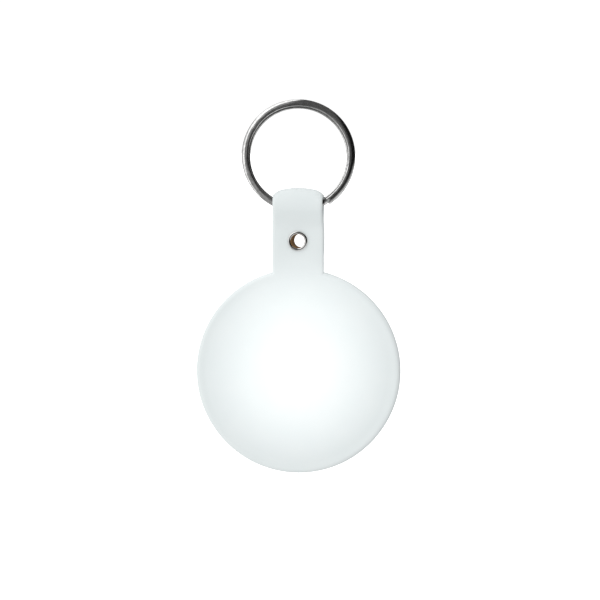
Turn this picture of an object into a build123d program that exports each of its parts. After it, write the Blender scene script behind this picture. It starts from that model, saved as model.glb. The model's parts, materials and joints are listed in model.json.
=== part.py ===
from build123d import *
import os
from math import cos, pi, radians, sin, sqrt, tan

# A soft moulded key tag that holds a small radio tracker and hangs on a split key ring.
# Millimetres. +Z is up as the tag hangs, its plain face looks along -Y, and +X is to that face's right.
# The origin is the top of the ring's opening, on the ring's mid-plane, where a hook carries the ring.

# Split ring: one flattened wire wound twice
RING_OUTER_R = 12.5
RING_INNER_R = 10.75
RING_WIDTH = 2.0                 # both turns together, along Y
TURN_GAP = 0.12                  # between the two turns
WIRE_ROUND = 0.4
RING_Z = -RING_INNER_R
CROSS_FROM = -66.0               # degrees from +X towards +Z, where the wire leaves the front turn
CROSS_TO = -48.0                 # where it has become the back turn
END_GAP = 1.2                    # degrees between a cut end and the crossing wire
CROSS_SECTIONS = 7

# Strap: a front ply, a fold round the ring and a rear ply, all one moulding with the disc
STRAP_WIDTH = 11.0
PLY = 1.5
PLY_GAP = 0.1                    # between the two clamped plies
FOLD_INNER_R = 2.12              # clears the curved ring at every swing angle
FOLD_Z = -21.47                  # axis of the fold, and of the swing
FOLD_TAPER = 27.0                # degrees that each ply leans out between the eyelet and the fold
FOLD_BEND_R = 4.0                # centre line of the bends above the eyelet
STRAP_CROWN = 0.45               # the fold's top edge is gently convex across the strap
STRAP_CORNER_R = 1.2
REAR_PLY_END_Z = -33.65
STRAP_ROOT_Z = -37.45            # inside the disc's rim

# Eyelet through both plies
EYELET_Z = -29.45
EYELET_BORE_R = 1.5
EYELET_BARREL_R = 1.8
EYELET_FLANGE_R = 2.25
EYELET_FLANGE_RISE = 0.42
EYELET_ROLL_R = 2.2
WASHER_R = 2.75
WASHER_THICKNESS = 0.3

# Disc of the holder
DISC_Z = -58.05
DISC_R = 22.5
HOLDER_APEX_Y = -3.3             # middle of the slightly domed face
RIM_Y = -(PLY + PLY_GAP / 2)     # the disc's rim is flush with the strap's face
DOME_EDGE_R = 20.6
DOME_EDGE_BLEND = 8.0
RIM_ROUND = 0.7
SIDE_END_Y = 2.0                 # behind this the side tapers in towards the back
HOLDER_BACK_Y = 5.0
HOLDER_BACK_R = 21.2
LIP_R = 15.2                     # opening in the back, behind which the lip holds the tracker
SKIN = 0.9                       # soft skin over the tracker's face
GRIP_GAP = 0.05                  # between the holder and the tracker's housings

# Tracker housings
PUCK_R = 19.5
PUCK_APEX_Y = HOLDER_APEX_Y + SKIN
HOUSING_WALL = 0.8
FRONT_INNER_R = 17.6
SPLIT_Y = 0.6                    # where the two housings meet
TONGUE_R = 18.2
TONGUE_END_Y = 1.6
REAR_INNER_R = 18.3
REAR_STEP_Y = 4.0                # back of the part that the lip covers
BOSS_R = 15.0                    # raised middle that fills the lip's opening
BOSS_BACK_Y = 4.75
BOSS_FLOOR_Y = 2.9
GASKET_R = (18.5, 19.1)
GASKET_THICKNESS = 0.35

# Battery bay, cell and cover
BAY_R = 10.3
BAY_TUBE_R = 12.6
BAY_FRONT_Y = 0.55
CELL_R = 10.0
CELL_FRONT_Y = 0.65
CELL_BACK_Y = 3.85
CAN_WALL = 0.25
CAN_FRONT_Y = 0.95
CAP_R = 8.9
COVER_R = 12.35
COVER_FRONT_Y = 3.95
COVER_GAP = 0.1
NECK_R = 11.0
NECK_FRONT_Y = 3.0
SEAL_SECTION_R = 0.35
SEAL_Y = 3.56
LUG_R = 13.1
LUG_BACK_Y = 4.25
LUG_WIDTH = 22.0                 # degrees
LUG_ANGLES = (90.0, 210.0, 330.0)
LUG_SLACK = 1.5                  # degrees past each end of a lug's path
LUG_SIDE_GAP = 0.15              # beyond a lug's tip
LUG_FACE_GAPS = (0.1, 0.07)      # in front of and behind a lug
NECK_GAP = 0.08
NECK_FLANGE = 0.15
COVER_EDGE_ROUND = 0.2
TWIST = 25.0                     # degrees from locked to free
COIN_SLOT = (10.0, 1.9, 0.45)    # length, width, depth

# Circuit board and what stands on it
BOARD_R = 16.5
BOARD_FRONT_Y = -0.4
BOARD_BACK_Y = 0.3
SCREW_R_FROM_CENTRE = 13.2
SCREW_ANGLES = (90.0, 210.0, 330.0)
SCREW_SHANK_R = 0.6
SCREW_HEAD = (1.2, 0.28)         # radius, height
SCREW_END_Y = 2.2
SCREW_BOSS_R = 1.3
CHIP_HEIGHT = 0.45

# Press button and switch
BUTTON_R = 5.4
BUTTON_GAP = 0.2
BUTTON_FLANGE_R = 6.4
BUTTON_FLANGE_Y = (-1.36, -1.1)
NIB_R = 0.7
NIB_END_Y = -0.9
SWITCH_SIZE = 4.2
SWITCH_TOP_Y = -0.72
SWITCH_POCKET = (1.6, 0.2)       # radius, depth
DOME_RIM_R = 1.4
DOME_APEX_Y = -0.86
DOME_SHEET = 0.07

# Sounder
PIEZO_BELOW = 11.6               # below the disc's centre
PIEZO_R = 4.8
PIEZO_SEAT_Y = -0.85
PIEZO_SEAT_R = (4.2, 5.2)
PIEZO_SHEET = 0.12
CERAMIC_R = 3.6
SOUND_HOLE_R = 0.35
SOUND_HOLE_RING = 14.1

PART_FAR = 20.0                  # past everything along Y, for cutting through

DOME_RISE = RIM_Y - HOLDER_APEX_Y
DOME_SPHERE_R = (DOME_EDGE_R**2 + DOME_RISE**2) / (2 * DOME_RISE)
DOME_CENTRE_Y = HOLDER_APEX_Y + DOME_SPHERE_R
FOLD_OUTER_R = FOLD_INNER_R + PLY
STRAP_TOP_Z = FOLD_Z + FOLD_OUTER_R


# ---- shared shapes ----

def rod(radius, y_front, y_back, x=0.0, z=DISC_Z):
    """A cylinder along Y."""
    length = y_back - y_front
    return Pos(x, (y_front + y_back) / 2, z) * Rot(90, 0, 0) * Cylinder(radius, length)


def tube(outer, inner, y_front, y_back, x=0.0, z=DISC_Z):
    """A cylinder along Y with a hole through it."""
    return rod(outer, y_front, y_back, x, z) - rod(inner, y_front - 1, y_back + 1, x, z)


def block(x, z, width, height, y_front, y_back, turn=0.0):
    """A box centred at x and z of the disc's own axes, turned about Y."""
    shape = Box(width, y_back - y_front, height)
    return Pos(x, (y_front + y_back) / 2, DISC_Z + z) * Rot(0, turn, 0) * shape


def on_circle(radius, angle):
    """x and z of a point at an angle from +X towards +Z, about the disc's centre."""
    return radius * cos(radians(angle)), radius * sin(radians(angle))


def turned(shape, angle):
    """The shape turned about the disc's own Y axis."""
    return Pos(0, 0, DISC_Z) * Rot(0, angle, 0) * Pos(0, 0, -DISC_Z) * shape


def spun(profile):
    """The solid of a profile of radius and Y, turned about the disc's axis."""
    return Pos(0, 0, DISC_Z) * revolve(profile, Axis.Y)


def dome_y(apex_y, radius):
    """Y of the face that is concentric with the holder's face and has its middle at apex_y."""
    sphere = DOME_CENTRE_Y - apex_y
    return DOME_CENTRE_Y - sqrt(sphere**2 - radius**2)


def domed_plug(apex_y, radius, back_y, edge_round=0.0):
    """A round body with a domed front and a flat back."""
    edge_y = dome_y(apex_y, radius)
    face_arc = ThreePointArc((0, apex_y), (radius / 2, dome_y(apex_y, radius / 2)), (radius, edge_y))
    sides = Polyline((radius, edge_y), (radius, back_y), (0, back_y), (0, apex_y))
    profile = make_face(face_arc + sides)
    if edge_round:
        profile = fillet(corner(profile, radius, edge_y), edge_round)
    return spun(profile)


def corner(profile, radius, y):
    """The profile's corner nearest to a radius and Y."""
    return profile.vertices().sort_by_distance((radius, y, 0))[0]


def sector(outer, inner, y_front, y_back, from_angle, to_angle):
    """A piece of a ring about the disc's axis, between two angles about +Y."""
    height = y_back - y_front
    profile = Pos((outer + inner) / 2, (y_front + y_back) / 2) * Rectangle(outer - inner, height)
    swept = revolve(profile, Axis.Y, to_angle - from_angle)
    return turned(Pos(0, 0, DISC_Z) * swept, from_angle)


# ---- split ring ----

def wire_section(angle, y):
    """The wire's section at an angle round the ring."""
    middle_r = (RING_OUTER_R + RING_INNER_R) / 2
    outward = (cos(radians(angle)), 0, sin(radians(angle)))
    along = (-sin(radians(angle)), 0, cos(radians(angle)))
    centre = (middle_r * outward[0], y, RING_Z + middle_r * outward[2])
    thickness = (RING_WIDTH - TURN_GAP) / 2
    outline = RectangleRounded(RING_OUTER_R - RING_INNER_R, thickness, WIRE_ROUND)
    return Plane(origin=centre, x_dir=outward, z_dir=along) * outline


def split_ring():
    """A front turn, a crossing and a back turn of one wire, with two cut ends."""
    turn_y = (RING_WIDTH + TURN_GAP) / 4
    round_ring = Axis((0, 0, RING_Z), (0, -1, 0))
    whole = 360 + CROSS_FROM - CROSS_TO
    front = revolve(wire_section(CROSS_TO + END_GAP, -turn_y), round_ring, whole - END_GAP)
    back = revolve(wire_section(CROSS_TO, turn_y), round_ring, whole - END_GAP)
    sections = []
    for step in range(CROSS_SECTIONS):
        share = step / (CROSS_SECTIONS - 1)
        eased = share * share * (3 - 2 * share)
        angle = CROSS_FROM + share * (CROSS_TO - CROSS_FROM)
        sections.append(wire_section(angle, turn_y * (2 * eased - 1)))
    return front + loft(sections) + back


# ---- soft holder and eyelet ----

def strap_side_profile():
    """The folded strap seen from the side: Y across, Z up."""
    taper = radians(FOLD_TAPER)
    centre_y = PLY_GAP / 2 + PLY / 2
    fold_r = FOLD_INNER_R + PLY / 2
    narrowing = fold_r * cos(taper) - centre_y - FOLD_BEND_R * (1 - cos(taper))
    bend_z = FOLD_Z - (fold_r + FOLD_BEND_R) * sin(taper) - narrowing / tan(taper)
    fold = Vector(0, FOLD_Z)
    bend = Vector(centre_y + FOLD_BEND_R, bend_z)

    def point(centre, radius, angle):
        """A point at an angle from +Y of the side view, in radians."""
        return centre + Vector(radius * cos(angle), radius * sin(angle))

    def wall(fold_radius, bend_radius):
        """One wall of the rear half: from the clamped plies up and round to the fold's top."""
        bend_arc = ThreePointArc(
            point(bend, bend_radius, pi),
            point(bend, bend_radius, pi - taper / 2),
            point(bend, bend_radius, pi - taper),
        )
        fold_arc = ThreePointArc(
            point(fold, fold_radius, -taper),
            point(fold, fold_radius, pi / 4),
            point(fold, fold_radius, pi / 2),
        )
        return bend_arc + Line(bend_arc @ 1, fold_arc @ 0) + fold_arc

    def lower_end(side, end_z):
        """The square end of a ply, on the front (-1) or rear (+1) side."""
        outer_y = side * (PLY_GAP / 2 + PLY)
        inner_y = side * PLY_GAP / 2
        return Polyline((outer_y, bend_z), (outer_y, end_z), (inner_y, end_z), (inner_y, bend_z))

    walls = wall(FOLD_OUTER_R, FOLD_BEND_R - PLY / 2) + wall(FOLD_INNER_R, FOLD_BEND_R + PLY / 2)
    ends = lower_end(1, REAR_PLY_END_Z) + lower_end(-1, STRAP_ROOT_Z)
    return make_face(walls + mirror(walls, Plane.YZ) + ends)


def strap_front_outline():
    """The strap seen from the front: X across, Z up."""
    half = STRAP_WIDTH / 2
    shoulder_z = STRAP_TOP_Z - STRAP_CROWN
    top = ThreePointArc((-half, shoulder_z), (0, STRAP_TOP_Z), (half, shoulder_z))
    sides = Polyline((half, shoulder_z), (half, STRAP_ROOT_Z), (-half, STRAP_ROOT_Z), (-half, shoulder_z))
    outline = make_face(top + sides)
    shoulders = [corner(outline, x, shoulder_z) for x in (-half, half)]
    return fillet(shoulders, STRAP_CORNER_R)


def strap():
    """Both plies and the fold, cut to the crowned outline."""
    from_side = extrude(Plane.YZ * strap_side_profile(), STRAP_WIDTH / 2, both=True)
    from_front = extrude(Plane.XZ * strap_front_outline(), PART_FAR, both=True)
    return from_side & from_front


def holder_disc():
    """The disc's outside: a slight dome, a flat rim and a tapered back."""
    points = [
        (DOME_EDGE_R, RIM_Y),
        (DISC_R, RIM_Y),
        (DISC_R, SIDE_END_Y),
        (HOLDER_BACK_R, HOLDER_BACK_Y),
        (0, HOLDER_BACK_Y),
        (0, HOLDER_APEX_Y),
    ]
    halfway = DOME_EDGE_R / 2
    face_arc = ThreePointArc((0, HOLDER_APEX_Y), (halfway, dome_y(HOLDER_APEX_Y, halfway)), points[0])
    profile = make_face(face_arc + Polyline(*points))
    rounds = [DOME_EDGE_BLEND, RIM_ROUND, 2 * RIM_ROUND, RIM_ROUND]
    for (radius, y), size in zip(points, rounds):
        profile = fillet(corner(profile, radius, y), size)
    return spun(profile)


def soft_holder():
    """Disc, strap and fold in one soft moulding, open at the back for the tracker."""
    cavity = domed_plug(PUCK_APEX_Y - GRIP_GAP, PUCK_R + GRIP_GAP, REAR_STEP_Y + GRIP_GAP, RIM_ROUND)
    shape = holder_disc() - cavity - rod(LIP_R, 0, PART_FAR)
    shape += strap()
    return shape - rod(EYELET_BARREL_R, -PART_FAR, PART_FAR, z=EYELET_Z)


def eyelet():
    """A barrel with a domed front flange, its rear end rolled over the washer."""
    front_y = RIM_Y
    rear_y = -RIM_Y + WASHER_THICKNESS
    middle_r = (EYELET_BORE_R + EYELET_FLANGE_R) / 2
    crest_y = front_y - EYELET_FLANGE_RISE
    roll_y = rear_y + EYELET_FLANGE_RISE
    flange = ThreePointArc((EYELET_BORE_R, front_y), (middle_r, crest_y), (EYELET_FLANGE_R, front_y))
    outside = Polyline(
        (EYELET_FLANGE_R, front_y),
        (EYELET_BARREL_R, front_y),
        (EYELET_BARREL_R, rear_y),
        (EYELET_ROLL_R, rear_y),
    )
    roll = ThreePointArc((EYELET_ROLL_R, rear_y), (middle_r, roll_y), (EYELET_BORE_R, rear_y))
    bore = Line((EYELET_BORE_R, rear_y), (EYELET_BORE_R, front_y))
    profile = make_face(flange + outside + roll + bore)
    return Pos(0, 0, EYELET_Z) * revolve(profile, Axis.Y)


def eyelet_washer():
    """The flat ring that the eyelet is rolled over, behind the rear ply."""
    return tube(WASHER_R, EYELET_BARREL_R, -RIM_Y, -RIM_Y + WASHER_THICKNESS, z=EYELET_Z)


# ---- tracker housings ----

def front_housing():
    """The domed front shell, with the button's hole and the sounder's seat."""
    shell = domed_plug(PUCK_APEX_Y, PUCK_R, SPLIT_Y, RIM_ROUND)
    shell -= domed_plug(PUCK_APEX_Y + HOUSING_WALL, FRONT_INNER_R, PART_FAR)
    shell += tube(TONGUE_R, FRONT_INNER_R, SPLIT_Y - 0.5, TONGUE_END_Y)
    shell -= rod(BUTTON_R + BUTTON_GAP, -PART_FAR, PART_FAR)
    piezo_z = DISC_Z - PIEZO_BELOW
    seat_inner, seat_outer = PIEZO_SEAT_R
    wall_middle_y = PUCK_APEX_Y + HOUSING_WALL
    seat = tube(seat_outer, seat_inner, wall_middle_y, PIEZO_SEAT_Y, z=piezo_z)
    within = domed_plug(PUCK_APEX_Y + HOUSING_WALL / 2, FRONT_INNER_R, PART_FAR)
    return (shell + (seat & within)) - rod(seat_outer, PIEZO_SEAT_Y, SPLIT_Y, z=piezo_z)


def housing_gasket():
    """The flat seal in the rear housing's rim."""
    inner, outer = GASKET_R
    return tube(outer, inner, SPLIT_Y, SPLIT_Y + GASKET_THICKNESS)


def bayonet_paths():
    """What the cover's lugs sweep: three arcs, each with a way out at its free end."""
    outer = LUG_R + LUG_SIDE_GAP
    front_y = COVER_FRONT_Y - LUG_FACE_GAPS[0]
    back_y = LUG_BACK_Y + LUG_FACE_GAPS[1]
    paths = []
    for angle in LUG_ANGLES:
        locked_side = angle - LUG_WIDTH / 2 - LUG_SLACK
        free_side = angle + LUG_WIDTH / 2 + TWIST + LUG_SLACK
        arc = sector(outer, NECK_R, front_y, back_y, locked_side, free_side)
        way_out = sector(outer, NECK_R, COVER_FRONT_Y, BOSS_BACK_Y + 1, locked_side + TWIST, free_side)
        paths += [arc, way_out]
    return paths


def rear_housing():
    """The rear shell: a stepped back, the battery bay, the cover's bayonet and the board's bosses."""
    shell = tube(PUCK_R, REAR_INNER_R, SPLIT_Y, REAR_STEP_Y)
    shell += tube(PUCK_R, BAY_R, REAR_STEP_Y - HOUSING_WALL, REAR_STEP_Y)
    outer_edge = shell.edges().filter_by(GeomType.CIRCLE).group_by(Axis.Y)[-1].sort_by(SortBy.RADIUS)[-1]
    shell = fillet(outer_edge, RIM_ROUND)
    shell += tube(BOSS_R, BAY_R, BOSS_FLOOR_Y, BOSS_BACK_Y)
    shell += tube(BAY_TUBE_R, BAY_R, BAY_FRONT_Y, REAR_STEP_Y)
    for angle in SCREW_ANGLES:
        x, z = on_circle(SCREW_R_FROM_CENTRE, angle)
        shell += rod(SCREW_BOSS_R, BOARD_BACK_Y, REAR_STEP_Y, x, DISC_Z + z) - rod(BAY_R, 0, PART_FAR)
        shell -= rod(SCREW_SHANK_R, 0, SCREW_END_Y + 0.2, x, DISC_Z + z)
    shell -= rod(NECK_R + 2 * SEAL_SECTION_R + NECK_GAP, BOSS_FLOOR_Y, PART_FAR)
    shell -= rod(COVER_R + COVER_GAP, COVER_FRONT_Y - LUG_FACE_GAPS[1], PART_FAR)
    shell -= bayonet_paths()
    inner, outer = GASKET_R
    shell -= tube(outer, inner, 0, SPLIT_Y + GASKET_THICKNESS)
    for step in range(-2, 3):
        x, z = on_circle(SOUND_HOLE_RING, 180 + 9 * step)
        shell -= rod(SOUND_HOLE_R, BOSS_FLOOR_Y - 1, PART_FAR, x, DISC_Z + z)
    return shell


# ---- battery cover and cell ----

def battery_cover():
    """A coin-turned cover with a neck for its seal and three bayonet lugs."""
    cover = rod(COVER_R, COVER_FRONT_Y, BOSS_BACK_Y)
    cover = fillet(cover.edges().group_by(Axis.Y)[-1], COVER_EDGE_ROUND)
    cover += tube(NECK_R, BAY_R, NECK_FRONT_Y, COVER_FRONT_Y)
    cover += tube(NECK_R + SEAL_SECTION_R, BAY_R, NECK_FRONT_Y, NECK_FRONT_Y + NECK_FLANGE)
    for angle in LUG_ANGLES:
        from_angle = angle - LUG_WIDTH / 2
        cover += sector(LUG_R, NECK_R, COVER_FRONT_Y, LUG_BACK_Y, from_angle, from_angle + LUG_WIDTH)
    length, width, depth = COIN_SLOT
    outline = Pos(0, DISC_Z) * SlotOverall(length, width)
    slot = extrude(Plane.XZ.offset(-BOSS_BACK_Y) * outline, depth)
    return cover - slot


def cover_seal():
    """The O-ring round the cover's neck."""
    section = Pos(NECK_R + SEAL_SECTION_R, SEAL_Y) * Circle(SEAL_SECTION_R)
    return spun(section)


def cell_can():
    """The cell's positive can: a flat back and a rim crimped over the seal."""
    can = rod(CELL_R, CAN_FRONT_Y, CELL_BACK_Y)
    can = fillet(can.edges().filter_by(GeomType.CIRCLE), 0.25)
    can -= rod(CELL_R - CAN_WALL, CAN_FRONT_Y + CAN_WALL, CELL_BACK_Y - CAN_WALL)
    return can - rod(CAP_R + 0.3, 0, CAN_FRONT_Y + 1)


def cell_seal():
    """The ring that keeps the can and the cap apart."""
    outer = CELL_R - CAN_WALL
    ring = tube(outer, CAP_R, CAN_FRONT_Y + CAN_WALL, CELL_BACK_Y - CAN_WALL)
    return ring + tube(CAP_R + 0.3, CAP_R, CAN_FRONT_Y - 0.05, CAN_FRONT_Y + 1)


def cell_cap():
    """The negative cap, with the cell's filling."""
    cap = rod(CAP_R, CELL_FRONT_Y, CELL_BACK_Y - CAN_WALL)
    return fillet(cap.edges().filter_by(GeomType.CIRCLE).group_by(Axis.Y)[0], 0.2)


def positive_contact():
    """The clip beside the can, with a foot on the board."""
    wall = tube(CELL_R + 0.22, CELL_R + 0.03, BOARD_BACK_Y, NECK_FRONT_Y - 0.2)
    clip = wall & block(CELL_R, 0, 3, 3, BOARD_BACK_Y, NECK_FRONT_Y)
    return clip + block(CELL_R + 1, 0, 1.8, 3, BOARD_BACK_Y, BOARD_BACK_Y + 0.15)


def negative_contact():
    """The sprung leaf between the board and the cap."""
    under = [(-3.6, BOARD_BACK_Y), (-1.6, BOARD_BACK_Y), (1.4, 0.52), (2.4, 0.46)]
    over = [(x, y + 0.12) for x, y in reversed(under)]
    leaf = extrude(make_face(Polyline(*under, *over, close=True)), 1.4, both=True)
    return Pos(0, 0, DISC_Z) * leaf


# ---- circuit board ----

def circuit_board():
    """The round board with its screw holes."""
    board = rod(BOARD_R, BOARD_FRONT_Y, BOARD_BACK_Y)
    for angle in SCREW_ANGLES:
        x, z = on_circle(SCREW_R_FROM_CENTRE, angle)
        board -= rod(SCREW_SHANK_R + 0.1, -PART_FAR, PART_FAR, x, DISC_Z + z)
    return board


def board_screws():
    """Three small flat-head screws from the board into the rear housing."""
    head_r, head_height = SCREW_HEAD
    screws = []
    for angle in SCREW_ANGLES:
        x, z = on_circle(SCREW_R_FROM_CENTRE, angle)
        head = rod(head_r, BOARD_FRONT_Y - head_height, BOARD_FRONT_Y, x, DISC_Z + z)
        shank = rod(SCREW_SHANK_R, BOARD_FRONT_Y, SCREW_END_Y, x, DISC_Z + z)
        recess = rod(head_r / 2, -PART_FAR, BOARD_FRONT_Y - head_height / 2, x, DISC_Z + z)
        screws.append(head + shank - recess)
    return Compound(screws)


def front_chip(x, z, width, height):
    """A low package on the board's front."""
    return block(x, z, width, height, BOARD_FRONT_Y - CHIP_HEIGHT, BOARD_FRONT_Y)


def radio_chip():
    """The radio and processor."""
    return front_chip(6.9, 6.9, 4.5, 4.5)


def clock_crystal():
    """The radio's crystal, in a lidded metal can."""
    can = front_chip(11.3, 2.9, 2.0, 1.6)
    return fillet(can.edges().filter_by(Axis.Y), 0.2)


def motion_sensor():
    """The accelerometer, on the board's back."""
    return block(0, -14.6, 2.0, 2.0, BOARD_BACK_Y, BOARD_BACK_Y + 0.9)


def chip_antenna():
    """A ceramic antenna at the board's edge, on its back."""
    angle = 150
    x, z = on_circle(14.7, angle)
    return block(x, z, 2.0, 5.2, BOARD_BACK_Y, BOARD_BACK_Y + 1.1, turn=-angle)


def board_passives():
    """Capacitors, resistors and inductors, all one small size."""
    parts = []
    for step in range(3):
        parts.append(front_chip(10.2, 4.8 + 1.3 * step, 0.5, 1.0))
        parts.append(front_chip(3.4 + 1.3 * step, 10.1, 1.0, 0.5))
    for angle in (30, 37, 44, 55, 62, 180, 187, 230, 238, 292, 300, 308):
        x, z = on_circle(14.6, angle)
        parts.append(block(x, z, 1.0, 0.5, BOARD_BACK_Y, BOARD_BACK_Y + 0.5, turn=-angle))
    return Compound(parts)


# ---- button, switch and sounder ----

def press_button():
    """The hard plate under the soft skin: a domed face, a stop flange and a nib."""
    flange_front, flange_back = BUTTON_FLANGE_Y
    plate = domed_plug(PUCK_APEX_Y, BUTTON_R, flange_back, 0.2)
    plate += rod(BUTTON_FLANGE_R, flange_front, flange_back)
    return plate + rod(NIB_R, flange_back, NIB_END_Y)


def switch_base():
    """The switch's square body with a round pocket."""
    radius, depth = SWITCH_POCKET
    base = block(0, 0, SWITCH_SIZE, SWITCH_SIZE, SWITCH_TOP_Y, BOARD_FRONT_Y)
    return base - rod(radius, -PART_FAR, SWITCH_TOP_Y + depth)


def switch_dome():
    """The snap dome that clicks and closes the contact."""
    rim_y = SWITCH_TOP_Y + SWITCH_POCKET[1]
    rise = rim_y - DOME_APEX_Y
    sphere = (DOME_RIM_R**2 + rise**2) / (2 * rise)
    ball = Pos(0, DOME_APEX_Y + sphere, DISC_Z) * Sphere(sphere)
    hollow = Pos(0, DOME_APEX_Y + sphere, DISC_Z) * Sphere(sphere - DOME_SHEET)
    return (ball - hollow) & rod(PART_FAR, DOME_APEX_Y - 1, rim_y)


def piezo_plate():
    """The sounder's brass disc."""
    return rod(PIEZO_R, PIEZO_SEAT_Y, PIEZO_SEAT_Y + PIEZO_SHEET, z=DISC_Z - PIEZO_BELOW)


def piezo_ceramic():
    """The sounder's ceramic disc, on the brass one."""
    front_y = PIEZO_SEAT_Y + PIEZO_SHEET
    return rod(CERAMIC_R, front_y, front_y + PIEZO_SHEET, z=DISC_Z - PIEZO_BELOW)


def piezo_contacts():
    """Two sprung pins from the board, one to the ceramic and one to the brass."""
    brass_y = PIEZO_SEAT_Y + PIEZO_SHEET
    z = DISC_Z - PIEZO_BELOW
    to_ceramic = rod(0.4, brass_y + PIEZO_SHEET, BOARD_FRONT_Y, 0, z)
    to_brass = rod(0.4, brass_y, BOARD_FRONT_Y, (CERAMIC_R + PIEZO_R) / 2, z)
    return Compound([to_ceramic, to_brass])


NODES = [
    split_ring,
    soft_holder,
    eyelet,
    eyelet_washer,
    front_housing,
    rear_housing,
    housing_gasket,
    battery_cover,
    cover_seal,
    cell_can,
    cell_seal,
    cell_cap,
    positive_contact,
    negative_contact,
    circuit_board,
    board_screws,
    radio_chip,
    clock_crystal,
    motion_sensor,
    chip_antenna,
    board_passives,
    press_button,
    switch_base,
    switch_dome,
    piezo_plate,
    piezo_ceramic,
    piezo_contacts,
]

os.makedirs("parts", exist_ok=True)
for make in NODES:
    export_step(make(), f"parts/{make.__name__}.step")
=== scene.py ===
import json
import math

import bmesh
import bpy
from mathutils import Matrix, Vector


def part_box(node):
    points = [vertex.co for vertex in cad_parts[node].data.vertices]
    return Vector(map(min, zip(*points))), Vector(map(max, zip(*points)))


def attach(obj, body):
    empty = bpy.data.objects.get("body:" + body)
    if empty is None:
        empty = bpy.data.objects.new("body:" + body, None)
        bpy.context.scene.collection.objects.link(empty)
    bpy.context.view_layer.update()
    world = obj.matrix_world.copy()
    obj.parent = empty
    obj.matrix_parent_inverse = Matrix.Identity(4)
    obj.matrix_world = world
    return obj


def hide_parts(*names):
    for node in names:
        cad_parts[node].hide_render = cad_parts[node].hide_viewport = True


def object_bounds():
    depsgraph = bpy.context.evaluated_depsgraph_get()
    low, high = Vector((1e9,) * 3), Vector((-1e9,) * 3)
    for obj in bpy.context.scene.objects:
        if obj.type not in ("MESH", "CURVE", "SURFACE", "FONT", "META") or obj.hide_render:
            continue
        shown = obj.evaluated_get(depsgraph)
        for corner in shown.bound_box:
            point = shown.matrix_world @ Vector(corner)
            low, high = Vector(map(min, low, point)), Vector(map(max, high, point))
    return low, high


# The looks of a soft key tag that holds a radio tracker and hangs on a split ring.
# Lengths in the functions below are in metres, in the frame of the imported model.
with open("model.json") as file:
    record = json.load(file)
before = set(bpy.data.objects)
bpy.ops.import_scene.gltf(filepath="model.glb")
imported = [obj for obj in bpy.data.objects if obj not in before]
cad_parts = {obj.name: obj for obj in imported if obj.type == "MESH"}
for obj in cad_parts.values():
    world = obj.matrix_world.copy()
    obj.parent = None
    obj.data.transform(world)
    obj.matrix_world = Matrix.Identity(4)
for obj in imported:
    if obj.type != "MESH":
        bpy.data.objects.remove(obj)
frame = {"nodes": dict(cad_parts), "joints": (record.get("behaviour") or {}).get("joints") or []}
cad_low, cad_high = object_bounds()

MM = 0.001

# ---- places and sizes, read from the frame ----

holder_low, holder_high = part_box("soft_holder")
ring_low, ring_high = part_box("split_ring")
puck_low, puck_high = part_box("front_housing")
washer_low, washer_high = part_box("eyelet_washer")
swing = next(joint for joint in frame["joints"] if joint["name"] == "tag_swing")

DISC_R = (holder_high.x - holder_low.x) / 2
DISC_Z = holder_low.z + DISC_R
PUCK_R = (puck_high.x - puck_low.x) / 2
BACK_Y = holder_high.y
RIM_Y = -washer_low.y
EYELET_LIFT = 0.2 * MM
EYELET_Z = (washer_low.z + washer_high.z) / 2 + EYELET_LIFT
FOLD_Z = swing["pos_m"][2]
FOLD_OUTER_R = holder_high.z - FOLD_Z
RING_R = (ring_high.x - ring_low.x) / 2
RING_Z = (ring_low.z + ring_high.z) / 2
RING_HALF_WIDTH = ring_high.y

# ---- sizes that the boxes don't give ----

SKIN = 0.9 * MM                  # of the soft face, over the tracker
GRIP_GAP = 0.05 * MM             # round the tracker in its seat
FACE_ROWS = (0.0, 0.6, *range(2, 19))    # radii of the face's rows of points, in millimetres
SEAT_ROWS = (14, 11, 8, 5, 2, 0)         # and of the seat's
DOME_EDGE_R = 20.6 * MM
DOME_EDGE_BLEND = 8.0 * MM
RIM_ROUND = 0.9 * MM
SIDE_END_Y = 2.0 * MM
BACK_EDGE_R = 21.2 * MM
LIP_R = 15.2 * MM
LIP_FRONT_Y = 4.05 * MM
LIP_ROUND = 0.35 * MM
LIP_INNER_ROUND = 0.2 * MM
SEAT_BACK_ROUND = 0.3 * MM
SEAT_FACE_R = 17.0 * MM
DISC_SPACING = 1.2 * MM          # of the rows of points, at most
DISC_SEGMENTS = 192

PLY = 1.5 * MM
STRAP_HALF = 5.5 * MM
STRAP_ROUND = 0.62 * MM
STRAP_ROOT_Z = DISC_Z + 20.4 * MM
STRAP_SPACING = 0.4 * MM         # of the loops along the strap, at most
LOOP_SPACING = 0.5 * MM          # of the points round a loop, at most
SPREAD = 0.2 * MM                # more on each side where the strap is pinched flat
SPREAD_DOWN = 3.0 * MM           # from the swing axis down to where that starts
SPREAD_RUN = 3.0 * MM
ROOT_SINK = 0.05 * MM            # of the front ply's face where it runs into the disc
ROOT_SINK_DOWN = 0.8 * MM        # from the disc's top down to where that starts
ROOT_SINK_RUN = 1.2 * MM
REAR_PLY_END_Z = EYELET_Z - 4.2 * MM
END_LOOPS = 6                    # that the rear ply's end is rounded over
END_THINNING = 0.62
END_ARC = 0.98                   # how much of a quarter circle the rounding follows

FOLD_LIFT = 0.28 * MM            # of the fold's middle over the swing axis
FOLD_TAPER = math.radians(27)
FOLD_BEND_R = 4.0 * MM
FOLD_STEPS = 24
BEND_STEPS = 8
CROWN_DROP = 0.56 * MM           # of the fold's top edge, at a distance from its middle
CROWN_HALF = 4.2 * MM
CROWN_SIDE_DROP = 0.45 * MM      # and more towards the strap's sides
CROWN_SIDE_FROM = 3.8 * MM
CROWN_SIDE_RUN = 1.5 * MM
CROWN_FADE = 1.5                 # how fast the drop goes as the fold turns down

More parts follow.
